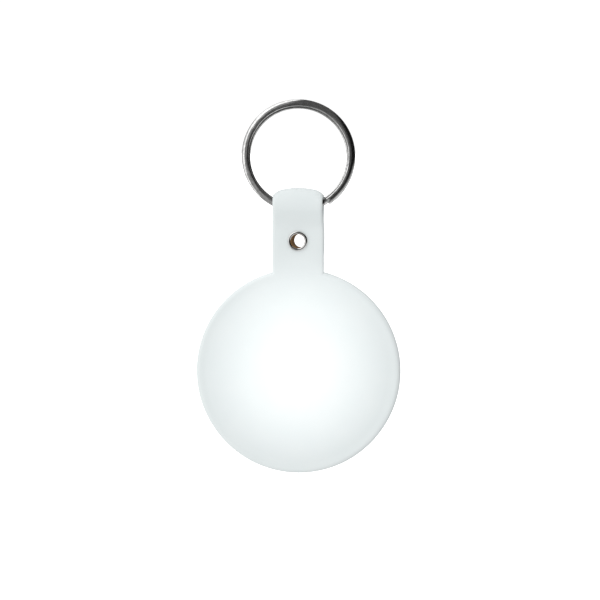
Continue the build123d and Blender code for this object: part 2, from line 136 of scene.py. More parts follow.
PILLOW_RISE = 0.13 * MM          # of the ply round the eyelet, which draws it in
PILLOW_FROM = 2.3 * MM           # from the eyelet's axis
PILLOW_SPREAD = 1.5 * MM
PILLOW_RIM_RUN = 2.5 * MM
PILLOW_FOLD_RUN = 4.0 * MM

EYELET_BORE_R = 1.5 * MM
EYELET_BARREL_R = 1.8 * MM       # of its hole in the strap
BARREL_CLEARANCE = 0.02 * MM
FLANGE_R = 2.22 * MM
FLANGE_CLEARANCE = 0.01 * MM
FLANGE_RISE = 0.42 * MM
FLANGE_FULLNESS = 0.8            # of its rolled section, where 1 is a sine
REAR_FLANGE_R = FLANGE_R - 0.07 * MM
EYELET_LEAN = 0.13               # X for each Y
EYELET_SEGMENTS = 96
BORE_ROWS = 8
POLE_R = 0.0001 * MM             # a revolved point nearer the axis than this is on it
HOLE_REACH = 9.0 * MM
HOLE_SEGMENTS = 64
WASHER_BACK_ROUND = 0.12 * MM
WASHER_FRONT_ROUND = 0.06 * MM

WIRE_DEPTH = 1.55 * MM
WIRE_CREST = -0.26               # how far in from its middle the wire stands highest, in half depths
OUTER_SQUARENESS = 2.1           # of the wire's outer half, where 2 is an ellipse
INNER_SQUARENESS = 3.6
WIRE_POINTS = 40
TURN_STEPS = 150
CROSSING_STEPS = 24
TURN_GAP = 0.1 * MM
CROSS_FROM = math.radians(-72)
CROSS_TO = math.radians(-59)
END_GAP = math.radians(1.4)
END_CHAMFER = math.radians(0.35)
END_SCALE = 0.82                 # of the wire's section at its cut ends
END_FLARE = 0.25 * MM            # of the front turn's cut end, prised outwards
END_FLARE_ARC = math.radians(65)
RING_LIFT = 0.25 * MM            # so that it bears on the fold's inside
RING_SQUASH = 0.99               # height to width, as prised and closed
RING_SHIFT = 0.05 * MM
RING_WIDER = 0.03 * MM
REAR_TURN_DROP = 0.20 * MM       # the turns don't lie quite level
REAR_TURN_LEFT = 0.08 * MM
REAR_TURN_SMALLER = 0.30 * MM    # in radius, so that it shows inside the front one

APEX_Y = puck_low.y - SKIN
DOME_RISE = RIM_Y - APEX_Y
DOME_SPHERE_R = (DOME_EDGE_R**2 + DOME_RISE**2) / (2 * DOME_RISE)
DOME_CENTRE_Y = APEX_Y + DOME_SPHERE_R


# ---- outlines ----

def ramp(distance, run):
    """0 before a distance of 0, rising evenly to 1 over a run."""
    return min(1.0, max(0.0, distance / run))


def rounded(corners, steps=7):
    """Points along straight lines between (u, v, radius) corners, each corner an arc."""
    points = []
    last = len(corners) - 1
    for i, (u, v, radius) in enumerate(corners):
        here = Vector((u, v))
        if not radius or i in (0, last):
            points.append(here)
            continue
        before = (Vector(corners[i - 1][:2]) - here).normalized()
        after = (Vector(corners[i + 1][:2]) - here).normalized()
        half = before.angle(after) / 2
        centre = here + (before + after).normalized() * (radius / math.sin(half))
        first = here + before * (radius / math.tan(half)) - centre
        turn = first.angle_signed(here + after * (radius / math.tan(half)) - centre)
        for step in range(steps + 1):
            angle = -turn * step / steps
            c, s = math.cos(angle), math.sin(angle)
            points.append(centre + Vector((c * first.x - s * first.y, s * first.x + c * first.y)))
    return points


def densified(points, longest):
    """The same outline with no gap between neighbours over a length."""
    dense = [points[0]]
    for a, b in zip(points, points[1:]):
        pieces = max(1, math.ceil((b - a).length / longest))
        dense += [a.lerp(b, k / pieces) for k in range(1, pieces + 1)]
    return dense


def dome_y(apex_y, radius):
    """Y at a radius of the face concentric with the holder's own."""
    sphere = DOME_CENTRE_Y - apex_y
    return DOME_CENTRE_Y - math.sqrt(sphere**2 - radius**2)


# ---- meshes ----

def new_object(name, mesh_data):
    """An object in the scene with a bmesh's mesh, its faces turned outwards."""
    bmesh.ops.recalc_face_normals(mesh_data, faces=mesh_data.faces)
    mesh = bpy.data.meshes.new(name)
    mesh_data.to_mesh(mesh)
    mesh_data.free()
    obj = bpy.data.objects.new(name, mesh)
    bpy.context.scene.collection.objects.link(obj)
    return obj


def smooth(obj, sharp_degrees):
    """Smooth faces, with sharp edges over an angle."""
    bm = bmesh.new()
    bm.from_mesh(obj.data)
    for face in bm.faces:
        face.smooth = True
    for edge in bm.edges:
        sharp = len(edge.link_faces) == 2 and edge.calc_face_angle() > math.radians(sharp_degrees)
        edge.smooth = not sharp
    bm.to_mesh(obj.data)
    bm.free()


def revolved(profile, segments, centre_z, closed=False):
    """A bmesh of a (radius, y) profile turned about the Y line at a height. Zero radii become poles."""
    bm = bmesh.new()
    rows = []
    for radius, y in profile:
        if radius < POLE_R:
            rows.append([bm.verts.new((0, y, centre_z))])
            continue
        row = []
        for k in range(segments):
            a = 2 * math.pi * k / segments
            row.append(bm.verts.new((radius * math.cos(a), y, centre_z + radius * math.sin(a))))
        rows.append(row)
    pairs = list(zip(rows, rows[1:]))
    if closed:
        pairs.append((rows[-1], rows[0]))
    for one, two in pairs:
        for k in range(segments):
            n = (k + 1) % segments
            ends = [one[k % len(one)], one[n % len(one)], two[n % len(two)], two[k % len(two)]]
            bm.faces.new(list(dict.fromkeys(ends)))
    return bm


def swept(sections):
    """A bmesh of closed loops of points joined one to the next, with both ends capped."""
    bm = bmesh.new()
    rows = [[bm.verts.new(p) for p in section] for section in sections]
    for one, two in zip(rows, rows[1:]):
        for k in range(len(one)):
            n = (k + 1) % len(one)
            bm.faces.new((one[k], one[n], two[n], two[k]))
    bm.faces.new(rows[0])
    bm.faces.new(rows[-1])
    return bm


def apply_modifiers(obj):
    """Replaces the object's mesh by its evaluated one."""
    bpy.context.view_layer.update()
    evaluated = obj.evaluated_get(bpy.context.evaluated_depsgraph_get())
    mesh = bpy.data.meshes.new_from_object(evaluated)
    obj.modifiers.clear()
    obj.data = mesh


def combined(obj, tool, operation):
    """The object with another added or cut away, and the other one gone."""
    modifier = obj.modifiers.new("combine", "BOOLEAN")
    modifier.operation = operation
    modifier.solver = "EXACT"
    modifier.object = tool
    apply_modifiers(obj)
    bpy.data.objects.remove(tool)


# ---- soft holder ----

def disc_profile():
    """The holder's disc from the middle of its face, round the back and into the tracker's seat."""
    seat_apex_y = puck_low.y - GRIP_GAP
    seat_r = PUCK_R + GRIP_GAP
    face = [Vector((r * MM, dome_y(APEX_Y, r * MM))) for r in FACE_ROWS]
    outside = rounded([
        (*face[-1], 0),
        (DOME_EDGE_R, RIM_Y, DOME_EDGE_BLEND),
        (DISC_R, RIM_Y, RIM_ROUND),
        (DISC_R, SIDE_END_Y, 2 * RIM_ROUND),
        (BACK_EDGE_R, BACK_Y, RIM_ROUND),
        (LIP_R, BACK_Y, LIP_ROUND),
        (LIP_R, LIP_FRONT_Y, LIP_INNER_ROUND),
        (seat_r, LIP_FRONT_Y, SEAT_BACK_ROUND),
        (seat_r, dome_y(puck_low.y, PUCK_R), RIM_ROUND),
        (SEAT_FACE_R, dome_y(seat_apex_y, SEAT_FACE_R), 0),
    ])
    seat = [Vector((r * MM, dome_y(seat_apex_y, r * MM))) for r in SEAT_ROWS]
    return densified(face[:-1] + outside + seat, DISC_SPACING)


def strap_path():
    """(y, z, outward y, outward z) along the strap's middle sheet, from its front root to its rear end."""
    middle = PLY / 2 - RIM_Y - PLY
    fold_r = FOLD_OUTER_R - PLY / 2
    narrowing = fold_r * math.cos(FOLD_TAPER) - middle - FOLD_BEND_R * (1 - math.cos(FOLD_TAPER))
    fold_z = FOLD_Z + FOLD_LIFT
    bend_z = fold_z - (fold_r + FOLD_BEND_R) * math.sin(FOLD_TAPER) - narrowing / math.tan(FOLD_TAPER)
    half = []
    for step in range(FOLD_STEPS + 1):
        a = math.radians(90) - step / FOLD_STEPS * (math.radians(90) + FOLD_TAPER)
        half.append((fold_r * math.cos(a), fold_z + fold_r * math.sin(a), math.cos(a), math.sin(a)))
    for step in range(BEND_STEPS + 1):
        a = math.pi - FOLD_TAPER * (1 - step / BEND_STEPS)
        y = middle + FOLD_BEND_R * (1 + math.cos(a))
        half.append((y, bend_z + FOLD_BEND_R * math.sin(a), -math.cos(a), -math.sin(a)))

    def with_run(end_z):
        """The half path carried straight down to an end, and evenly divided."""
        whole = half + [(middle, end_z, 1.0, 0.0)]
        dense = [whole[0]]
        for a, b in zip(whole, whole[1:]):
            pieces = max(1, math.ceil(math.hypot(b[0] - a[0], b[1] - a[1]) / STRAP_SPACING))
            for k in range(1, pieces + 1):
                dense.append(tuple(p + (q - p) * k / pieces for p, q in zip(a, b)))
        return dense

    front = [(-y, z, -ny, nz) for y, z, ny, nz in with_run(STRAP_ROOT_Z)]
    return front[::-1] + with_run(REAR_PLY_END_Z)[1:]


def fold_crown(x):
    """How far the fold's top edge drops towards the strap's sides."""
    inner = CROWN_DROP * (x / CROWN_HALF) ** 2
    return inner + CROWN_SIDE_DROP * max(0.0, (abs(x) - CROWN_SIDE_FROM) / CROWN_SIDE_RUN) ** 2


def pillow(x, z):
    """How far the soft ply stands proud round the eyelet, which draws it in."""
    distance = math.hypot(x, z - EYELET_Z)
    away = 1 - math.exp(-(max(0.0, distance - PILLOW_FROM) / PILLOW_SPREAD) ** 2)
    above_rim = ramp(z - (DISC_Z + DISC_R), PILLOW_RIM_RUN)
    below_fold = ramp(FOLD_Z - z, PILLOW_FOLD_RUN)
    return PILLOW_RISE * away * above_rim * below_fold


def strap_sections():
    """Closed loops round the strap's flat section, all along its path."""
    half_sheet = PLY / 2
    start = (0.0, half_sheet, 0)
    outline = rounded([
        start,
        (STRAP_HALF, half_sheet, STRAP_ROUND),
        (STRAP_HALF, -half_sheet, STRAP_ROUND),
        (-STRAP_HALF, -half_sheet, STRAP_ROUND),
        (-STRAP_HALF, half_sheet, STRAP_ROUND),
        start,
    ], steps=6)
    outline = densified(outline, LOOP_SPACING)[:-1]
    path = strap_path()
    sections = []
    for i, (y, z, ny, nz) in enumerate(path):
        loops_left = len(path) - 1 - i
        ending = max(0.0, 1 - loops_left / END_LOOPS)
        shrink = 1 - END_THINNING * (1 - math.sqrt(1 - (END_ARC * ending) ** 2))
        flat = ramp(FOLD_Z - SPREAD_DOWN - z, SPREAD_RUN)
        wider = 1 + flat * SPREAD / STRAP_HALF
        sink = ROOT_SINK * ramp(DISC_Z + DISC_R - ROOT_SINK_DOWN - z, ROOT_SINK_RUN)
        inset = (1 - shrink) * PLY
        loop = []
        for u, v in outline:
            x = wider * math.copysign(max(0.0, abs(u) - inset), u)
            n = v * shrink
            outer = (v + half_sheet) / PLY
            point = Vector((x, y + ny * n, z + nz * n))
            if nz > 0:
                point.z -= outer * fold_crown(x) * nz**CROWN_FADE
            bulge = 0.0 if ending or v <= 0 else pillow(x, z)
            point.y += (bulge - (sink if y < 0 else 0.0)) * ny * outer
            loop.append(point)
        sections.append(loop)
    return sections


def soft_holder():
    """Disc and strap as one moulding, with the eyelet's hole."""
    holder = new_object("soft_holder_skin", revolved(disc_profile(), DISC_SEGMENTS, DISC_Z))
    strap = new_object("strap_tool", swept(strap_sections()))
    combined(holder, strap, "UNION")
    barrel = [(0, -HOLE_REACH), (EYELET_BARREL_R, -HOLE_REACH), (EYELET_BARREL_R, HOLE_REACH),
              (0, HOLE_REACH)]
    hole = leaned(new_object("hole_tool", revolved(barrel, HOLE_SEGMENTS, EYELET_Z)))
    combined(holder, hole, "DIFFERENCE")
    smooth(holder, sharp_degrees=35)
    return holder


# ---- split ring and eyelet ----

def wire_outline():
    """(radial, along Y) points of the flattened wire's section, with its crest off the middle."""
    half_depth = WIRE_DEPTH / 2
    half_width = (RING_HALF_WIDTH - TURN_GAP / 2) / 2
    outline = []
    for k in range(WIRE_POINTS):
        a = 2 * math.pi * k / WIRE_POINTS
        c, s = math.cos(a), math.sin(a)
        power = 2 / (OUTER_SQUARENESS if c > 0 else INNER_SQUARENESS)
        across = math.copysign(abs(c) ** power, c)
        outline.append((
            half_depth * (across + WIRE_CREST * (1 - across**2)),
            half_width * math.copysign(abs(s) ** power, s),
        ))
    return outline


def wire_route():
    """(angle, y) along the wire: front turn, crossing, back turn, with close pairs at the cut ends."""
    turn_y = (RING_HALF_WIDTH + TURN_GAP / 2) / 2
    whole = 2 * math.pi + CROSS_FROM - CROSS_TO
    start = CROSS_TO + END_GAP
    front = [(start + (whole - END_GAP) * k / TURN_STEPS, -turn_y) for k in range(TURN_STEPS)]
    crossing = []
    for k in range(CROSSING_STEPS + 1):
        share = k / CROSSING_STEPS
        eased = share * share * (3 - 2 * share)
        angle = CROSS_FROM + 2 * math.pi + share * (CROSS_TO - CROSS_FROM)
        crossing.append((angle, turn_y * (2 * eased - 1)))
    back_start = CROSS_TO + 2 * math.pi
    back = [(back_start + (whole - END_GAP) * k / TURN_STEPS, turn_y) for k in range(1, TURN_STEPS + 1)]
    front[1] = (front[0][0] + END_CHAMFER, -turn_y)
    back[-2] = (back[-1][0] - END_CHAMFER, turn_y)
    return front + crossing + back


def split_ring():
    """One wire wound twice, with chamfered cut ends."""
    outline = wire_outline()
    middle = RING_R + RING_WIDER - WIRE_DEPTH / 2
    route = wire_route()
    sections = []
    for i, (angle, y) in enumerate(route):
        scale = END_SCALE if i in (0, len(route) - 1) else 1.0
        rear = 0.5 + y / RING_HALF_WIDTH
        flare = END_FLARE * max(0.0, 1 - (angle - route[0][0]) / END_FLARE_ARC) ** 2
        loop = []
        for depth, width in outline:
            r = middle + depth * scale + flare - rear * REAR_TURN_SMALLER
            x = RING_SHIFT + r * math.cos(angle) - rear * REAR_TURN_LEFT
            z = RING_Z + RING_LIFT - rear * REAR_TURN_DROP + r * math.sin(angle) * RING_SQUASH
            loop.append(Vector((x, y + width * scale, z)))
        sections.append(loop)
    ring = new_object("split_ring_wire", swept(sections))
    smooth(ring, sharp_degrees=50)
    return ring


def leaned(obj):
    """The eyelet is set a little crooked: its rear end stands to the right of its front."""
    for vertex in obj.data.vertices:
        vertex.co.x += EYELET_LEAN * (vertex.co.y - RIM_Y)
    return obj


def rolled_lip(outer, y, rise, steps=20):
    """(radius, y) over a rolled edge, from the bore outwards, standing out along Y by the rise."""
    points = []
    for k in range(steps + 1):
        a = math.pi * k / steps
        radius = EYELET_BORE_R + (outer - EYELET_BORE_R) / 2 * (1 - math.cos(a))
        points.append((radius, y + rise * math.sin(a) ** FLANGE_FULLNESS))
    return points


def eyelet():
    """A barrel with a rolled front flange, its rear end rolled over the washer."""
    barrel = EYELET_BARREL_R - BARREL_CLEARANCE
    rear_y = washer_high.y
    profile = rolled_lip(FLANGE_R, RIM_Y - FLANGE_CLEARANCE, -FLANGE_RISE)
    profile += [(barrel, RIM_Y), (barrel, rear_y)]
    profile += rolled_lip(REAR_FLANGE_R, rear_y, FLANGE_RISE)[::-1]
    profile += [(EYELET_BORE_R, rear_y + (RIM_Y - rear_y) * k / BORE_ROWS) for k in range(1, BORE_ROWS)]
    tube = leaned(new_object("eyelet_rolled", revolved(profile, EYELET_SEGMENTS, EYELET_Z, closed=True)))
    smooth(tube, sharp_degrees=60)
    return tube


def eyelet_washer():
    """The washer under the rolled end, with softened edges."""
    outer = (washer_high.x - washer_low.x) / 2
    front, back = washer_low.y, washer_high.y
    profile = rounded([
        (EYELET_BARREL_R, back, 0),
        (outer, back, WASHER_BACK_ROUND),
        (outer, front, WASHER_FRONT_ROUND),
        (EYELET_BARREL_R, front, 0),
    ], steps=4)
    plate = revolved(profile, EYELET_SEGMENTS, EYELET_Z, closed=True)
    disc = leaned(new_object("eyelet_washer_disc", plate))
    smooth(disc, sharp_degrees=50)
    return disc


# ---- materials ----

NOISE_SPAN = (0.3, 0.7)          # which noise seldom leaves
BROAD_PATCH = 40                 # grains across, in a plastic
PLASTIC_TONES = (0.96, 1.03)     # of its colour, from patch to patch
RUBBED_FROM = 0.55               # height of the grain, where 1 is the highest
RUBBED_FULL = 0.8
RUBBED_TONE = 0.9
TARNISH_PATCH = 25               # grains across, in a metal
TARNISH_TONES = (0.88, 1.06)
SPECKLE = 0.05 * MM              # in a ceramic
SPECKLE_DEPTH = 0.002 * MM
SPECKLE_TONES = (0.82, 1.1)

VINYL_GLOW_TONES = (                  # share of the disc's radius, colour: the vinyl's grey-blue at the rim, whitened towards the middle by a painted glow
    (0.25, (0.805, 0.815, 0.815)),
    (0.40, (0.763, 0.794, 0.794)),
    (0.56, (0.715, 0.755, 0.755)),
    (0.72, (0.663, 0.701, 0.703)),
    (0.88, (0.607, 0.644, 0.646)),
    (0.96, (0.590, 0.627, 0.628)),
)
GLOW_CENTRE_X = 0.7 * MM        # of the painted glow's middle, right of the disc's centre so the left side, which the key light lights more, is painted darker
GLOW_REACH = 0.79               # distances upwards count this much, so the painted glow reaches further up
GLOW_REACH_FROM = -5.0 * MM     # above the disc's centre
GLOW_REACH_FULL = 12.0 * MM
VINYL_CLOUD = 6.0 * MM
VINYL_TINTS = ((0.985, 0.99, 0.992), (1.0, 1.0, 1.0))
VINYL_ROUGHNESS = (0.40, 0.50)
VINYL_GRAIN = 0.22 * MM
VINYL_GRAIN_DEPTH = 0.004 * MM
VINYL_GLOSS = 0.12

RING_LINE = 0.34 * MM            # from one rolling mark to the next
RING_LINE_STRETCH = 0.03         # across to along
RING_LINE_DEPTH = 0.045 * MM
RING_BLOTCH = 0.45 * MM
RING_BLOTCH_STRETCH = 0.6
RING_GRIME_SPAN = (0.36, 0.62)   # of the blotches, from grimy to clean
RING_TONES = ((0.58, 0.575, 0.56), (0.84, 0.83, 0.82))
RING_ROUGHNESS = (0.10, 0.04)

PLATING_FROM = 0.02 * MM         # out from the eyelet's bore, where brass gives way to nickel
PLATING_FULL = 0.10 * MM
EYELET_PATCH = 0.35 * MM
EYELET_PATCH_DEPTH = 0.006 * MM
BRASS_TONES = ((0.20, 0.095, 0.008), (0.46, 0.245, 0.032))
NICKEL_TONES = ((0.68, 0.67, 0.65), (0.92, 0.91, 0.89))
EYELET_ROUGHNESS = (0.45, 0.12)  # of the dull brass, then of the nickel
EYELET_METALLIC = (0.4, 1.0)

TRACK_SCALE = 900.0
TRACK_WIDTH = 0.03
TRACK_HEIGHT = 0.02 * MM
MASK_TONES = ((0.015, 0.11, 0.05), (0.03, 0.2, 0.09))
MASK_ROUGHNESS = 0.3


def new_material(name):
    """A material, its node tree and its main shader."""
    material = bpy.data.materials.new(name)
    material.use_nodes = True
    tree = material.node_tree
    return material, tree, tree.nodes["Principled BSDF"]


def node(tree, kind, inputs=None, **settings):
    """A new node with its settings, and with values or links for its inputs."""
    made = tree.nodes.new(kind)
    for key, value in settings.items():
        setattr(made, key, value)
    for key, value in (inputs or {}).items():
        if isinstance(value, bpy.types.NodeSocket):
            tree.links.new(value, made.inputs[key])
        else:
            made.inputs[key].default_value = value
    return made


def math_node(tree, operation, a, b=0.0):
    """The result of one sum."""
    return node(tree, "ShaderNodeMath", {0: a, 1: b}, operation=operation).outputs[0]


def hypotenuse(tree, a, b):
    """The distance that two sides at a right angle span."""
    square = math_node(tree, "ADD", math_node(tree, "MULTIPLY", a, a), math_node(tree, "MULTIPLY", b, b))
    return math_node(tree, "SQRT", square)


def facing(tree, toward, direction):
    """The cosine between the direction looked in and a fixed one."""
    inputs = {0: toward, 1: direction}
    return node(tree, "ShaderNodeVectorMath", inputs, operation="DOT_PRODUCT").outputs["Value"]


def ranged(tree, value, low, high, to_low=0.0, to_high=1.0):
    """The value carried smoothly from one range to another."""
    inputs = {"Value": value, "From Min": low, "From Max": high, "To Min": to_low, "To Max": to_high}
    return node(tree, "ShaderNodeMapRange", inputs, interpolation_type="SMOOTHSTEP").outputs["Result"]


def place(tree):
    """The object's own coordinates, which are the frame's."""
    return node(tree, "ShaderNodeTexCoord").outputs["Object"]


def noise(tree, where, scale, detail=3.0, rough=0.55):
    """Noise from 0 to 1."""
    inputs = {"Vector": where, "Scale": scale, "Detail": detail, "Roughness": rough}
    return node(tree, "ShaderNodeTexNoise", inputs).outputs["Fac"]


def mixed(tree, factor, one, two):
    """A colour between two, by a factor."""
    mix = node(tree, "ShaderNodeMix", data_type="RGBA")
    for socket, value in zip((0, 6, 7), (factor, one, two)):
        if isinstance(value, bpy.types.NodeSocket):
            tree.links.new(value, mix.inputs[socket])
        else:
            mix.inputs[socket].default_value = value
    return mix.outputs[2]


def bumped(tree, bsdf, height, distance, strength=1.0):
    """Gives the shader a bump from a height."""
    bump = node(tree, "ShaderNodeBump", {"Height": height, "Distance": distance, "Strength": strength})
    tree.links.new(bump.outputs[0], bsdf.inputs["Normal"])


def rgba(colour, scale=1.0):
    """The colour with full alpha, darkened or lightened by a scale."""
    return (*(c * scale for c in colour), 1.0)


def plastic(name, colour, roughness, grain=0.12 * MM, depth=0.006 * MM):
    """Moulded plastic with a spark-eroded grain, slight colour variation and rubbed high spots."""
    material, tree, bsdf = new_material(name)
    where = place(tree)
    fine = noise(tree, where, 1 / grain, 2.0)
    broad = noise(tree, where, 1 / (BROAD_PATCH * grain), 3.0)
    tone = mixed(tree, broad, *(rgba(colour, scale) for scale in PLASTIC_TONES))
    rubbed = ranged(tree, fine, RUBBED_FROM, RUBBED_FULL)
    tree.links.new(mixed(tree, rubbed, tone, rgba(colour, RUBBED_TONE)), bsdf.inputs["Base Color"])
    gloss = ranged(tree, broad, *NOISE_SPAN, roughness - 0.05, roughness + 0.06)
    tree.links.new(gloss, bsdf.inputs["Roughness"])
    bumped(tree, bsdf, fine, depth)
    return material


def metal(name, colour, roughness, grain=0.08 * MM, stretch=(1, 1, 1), depth=0.004 * MM):
    """Metal with fine directional marks and faint tarnish."""
    material, tree, bsdf = new_material(name)
    mapping = node(tree, "ShaderNodeMapping", {"Vector": place(tree), "Scale": stretch})
    marks = noise(tree, mapping.outputs[0], 1 / grain, 4.0, 0.65)
    cloud = noise(tree, place(tree), 1 / (TARNISH_PATCH * grain), 3.0)
    tone = mixed(tree, cloud, *(rgba(colour, scale) for scale in TARNISH_TONES))
    bsdf.inputs["Metallic"].default_value = 1.0
    tree.links.new(tone, bsdf.inputs["Base Color"])
    gloss = ranged(tree, marks, *NOISE_SPAN, roughness - 0.06, roughness + 0.1)
    tree.links.new(gloss, bsdf.inputs["Roughness"])
    bumped(tree, bsdf, marks, depth)
    return material


def ceramic(name, colour, roughness=0.35):
    """Fired ceramic with a fine speckle."""
    material, tree, bsdf = new_material(name)
    speck = noise(tree, place(tree), 1 / SPECKLE, 2.0)
    tone = mixed(tree, speck, *(rgba(colour, scale) for scale in SPECKLE_TONES))
    tree.links.new(tone, bsdf.inputs["Base Color"])
    bsdf.inputs["Roughness"].default_value = roughness
    bumped(tree, bsdf, speck, SPECKLE_DEPTH)
    return material


def soft_vinyl():
    """Milky soft vinyl, greyer blue in the rim and strap, with a painted glow that whitens the disc's
    middle.
    """
    material, tree, bsdf = new_material("soft_vinyl")
    where = place(tree)
    parts = node(tree, "ShaderNodeSeparateXYZ", {"Vector": where}).outputs
    up = math_node(tree, "SUBTRACT", parts["Z"], DISC_Z)
    reach = ranged(tree, up, GLOW_REACH_FROM, GLOW_REACH_FULL, 1.0, GLOW_REACH)
    tall = math_node(tree, "MULTIPLY", up, reach)
    # the glow's middle sits right of the disc's centre: painted shade on the left side, painted light on
    # the right
    wide = math_node(tree, "SUBTRACT", parts["X"], GLOW_CENTRE_X)
    radius = math_node(tree, "DIVIDE", hypotenuse(tree, wide, tall), DISC_R)
    # painted glow: white in the disc's middle, fading to the vinyl's own grey-blue at the rim and strap
    glow_tones = node(tree, "ShaderNodeValToRGB", {"Fac": radius})
    stops = glow_tones.color_ramp.elements
    stops[0].position, stops[0].color = VINYL_GLOW_TONES[0][0], rgba(VINYL_GLOW_TONES[0][1])
    stops[1].position, stops[1].color = VINYL_GLOW_TONES[-1][0], rgba(VINYL_GLOW_TONES[-1][1])
    for position, colour in VINYL_GLOW_TONES[1:-1]:
        stops.new(position).color = rgba(colour)
    cloud = noise(tree, where, 1 / VINYL_CLOUD, 3.0)
    tinted = mixed(tree, ranged(tree, cloud, *NOISE_SPAN), *map(rgba, VINYL_TINTS))
    tone = node(tree, "ShaderNodeMix", data_type="RGBA", blend_type="MULTIPLY")
    tone.inputs[0].default_value = 1.0
    tree.links.new(glow_tones.outputs["Color"], tone.inputs[6])
    tree.links.new(tinted, tone.inputs[7])
    tree.links.new(tone.outputs[2], bsdf.inputs["Base Color"])
    fine = noise(tree, where, 1 / VINYL_GRAIN, 3.0)
    tree.links.new(ranged(tree, cloud, *NOISE_SPAN, *VINYL_ROUGHNESS), bsdf.inputs["Roughness"])
    bsdf.inputs["Specular IOR Level"].default_value = VINYL_GLOSS
    bumped(tree, bsdf, fine, VINYL_GRAIN_DEPTH, 0.6)
    return material


def ring_nickel():
    """Polished nickel with rolling marks that run round the ring."""
    material, tree, bsdf = new_material("ring_nickel")
    parts = node(tree, "ShaderNodeSeparateXYZ", {"Vector": place(tree)}).outputs
    rear = math_node(tree, "ADD", math_node(tree, "DIVIDE", parts["Y"], RING_HALF_WIDTH), 0.5)
    drop = math_node(tree, "MULTIPLY", rear, REAR_TURN_DROP)
    up = math_node(tree, "SUBTRACT", parts["Z"], RING_Z + RING_LIFT)
    up = math_node(tree, "DIVIDE", math_node(tree, "ADD", up, drop), RING_SQUASH)
    right = math_node(tree, "SUBTRACT", parts["X"], RING_SHIFT)
    right = math_node(tree, "ADD", right, math_node(tree, "MULTIPLY", rear, REAR_TURN_LEFT))
    along = math_node(tree, "MULTIPLY", math_node(tree, "ARCTAN2", right, up), RING_R)
    unrolled = {"X": along, "Y": parts["Y"], "Z": hypotenuse(tree, right, up)}
    unrolled = node(tree, "ShaderNodeCombineXYZ", unrolled).outputs[0]
    lines = node(tree, "ShaderNodeMapping", {"Vector": unrolled, "Scale": (RING_LINE_STRETCH, 1, 1)})
    blotch = node(tree, "ShaderNodeMapping", {"Vector": unrolled, "Scale": (RING_BLOTCH_STRETCH, 1, 1)})
    marks = noise(tree, lines.outputs[0], 1 / RING_LINE, 2.0, 0.6)
    patches = noise(tree, blotch.outputs[0], 1 / RING_BLOTCH, 4.0, 0.65)
    clean = ranged(tree, patches, *RING_GRIME_SPAN)
    bsdf.inputs["Metallic"].default_value = 1.0
    tree.links.new(mixed(tree, clean, *map(rgba, RING_TONES)), bsdf.inputs["Base Color"])
    tree.links.new(ranged(tree, patches, *NOISE_SPAN, *RING_ROUGHNESS), bsdf.inputs["Roughness"])
    bumped(tree, bsdf, marks, RING_LINE_DEPTH)
    return material


def eyelet_metal():
    """Nickel outside, worn to brown brass in the bore."""
    material, tree, bsdf = new_material("eyelet_metal")
    where = place(tree)
    parts = node(tree, "ShaderNodeSeparateXYZ", {"Vector": where}).outputs
    lean = math_node(tree, "MULTIPLY", math_node(tree, "SUBTRACT", parts["Y"], RIM_Y), EYELET_LEAN)
    across = math_node(tree, "SUBTRACT", parts["X"], lean)
    up = math_node(tree, "SUBTRACT", parts["Z"], EYELET_Z)
    radius = hypotenuse(tree, across, up)
    out = ranged(tree, radius, EYELET_BORE_R + PLATING_FROM, EYELET_BORE_R + PLATING_FULL)
    patches = noise(tree, where, 1 / EYELET_PATCH, 3.0)
    brass = mixed(tree, patches, *map(rgba, BRASS_TONES))
    nickel = mixed(tree, patches, *map(rgba, NICKEL_TONES))
    tree.links.new(mixed(tree, out, brass, nickel), bsdf.inputs["Base Color"])
    tree.links.new(ranged(tree, out, 0.0, 1.0, *EYELET_ROUGHNESS), bsdf.inputs["Roughness"])
    tree.links.new(ranged(tree, out, 0.0, 1.0, *EYELET_METALLIC), bsdf.inputs["Metallic"])
    bumped(tree, bsdf, patches, EYELET_PATCH_DEPTH)
    return material


def solder_mask():
    """Green solder mask over faint tracks."""
    material, tree, bsdf = new_material("solder_mask")
    turned = {"Vector": place(tree), "Rotation": (math.radians(90), 0, 0)}
    flat = node(tree, "ShaderNodeMapping", turned).outputs[0]
    grid = {"Vector": flat, "Scale": TRACK_SCALE, "Mortar Size": TRACK_WIDTH,
            "Color1": (0, 0, 0, 1), "Color2": (0.2, 0.2, 0.2, 1), "Mortar": (1, 1, 1, 1)}
    tracks = node(tree, "ShaderNodeTexBrick", grid)
    line = node(tree, "ShaderNodeSeparateColor", {"Color": tracks.outputs["Color"]}).outputs[0]
    tree.links.new(mixed(tree, line, *map(rgba, MASK_TONES)), bsdf.inputs["Base Color"])
    bsdf.inputs["Roughness"].default_value = MASK_ROUGHNESS
    bumped(tree, bsdf, line, TRACK_HEIGHT)
    return material


